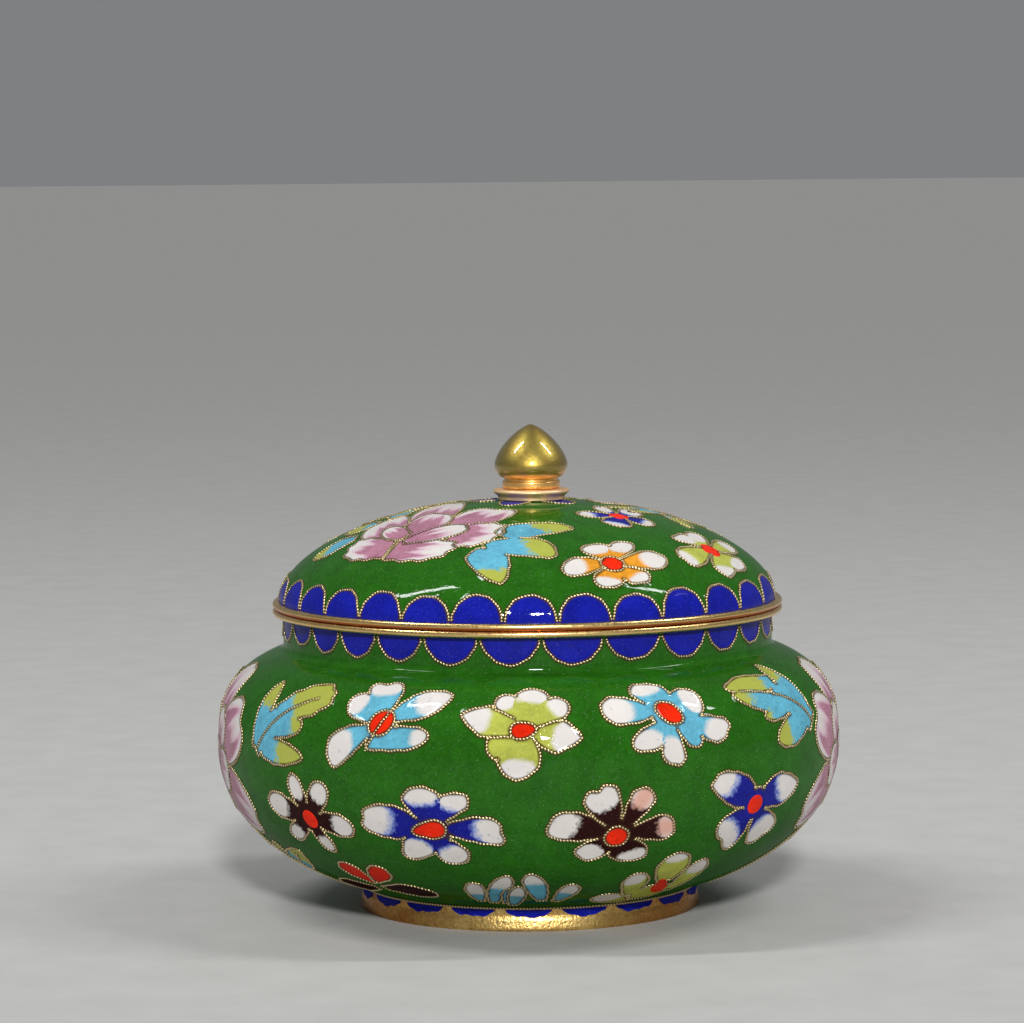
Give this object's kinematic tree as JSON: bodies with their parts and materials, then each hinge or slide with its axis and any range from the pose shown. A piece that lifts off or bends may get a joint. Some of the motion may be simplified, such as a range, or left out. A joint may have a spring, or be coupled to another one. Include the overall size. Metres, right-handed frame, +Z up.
{
  "type": "cloisonne jar",
  "caption": "Squat round covered jar in green cloisonne enamel with flower motifs, brass rims, foot ring and a gilt bud finial on a lift-off domed lid.",
  "frame": {"origin": "centre of the underside of the foot ring, on the surface the jar stands on", "axes": "+Z up along the jar's axis of revolution; -Y faces the viewer of the picture; +X to that viewer's right"},
  "size_m": [0.1002, 0.1002, 0.0776],
  "materials": {
    "bowl_enamel": "gloss",
    "lid_enamel": "gloss",
    "foot_brass": "worn satin",
    "mouth_brass": "satin",
    "lid_rim_brass": "satin",
    "collar_brass": "satin",
    "finial_brass": "polished"
  },
  "bodies": {
    "root": {"bowl": "bowl_enamel", "foot_ring": "foot_brass", "mouth_ring": "mouth_brass", "lid_ring": "lid_rim_brass", "lid": "lid_enamel", "finial_collar": "collar_brass", "finial": "finial_brass"}
  },
  "joints": []
}
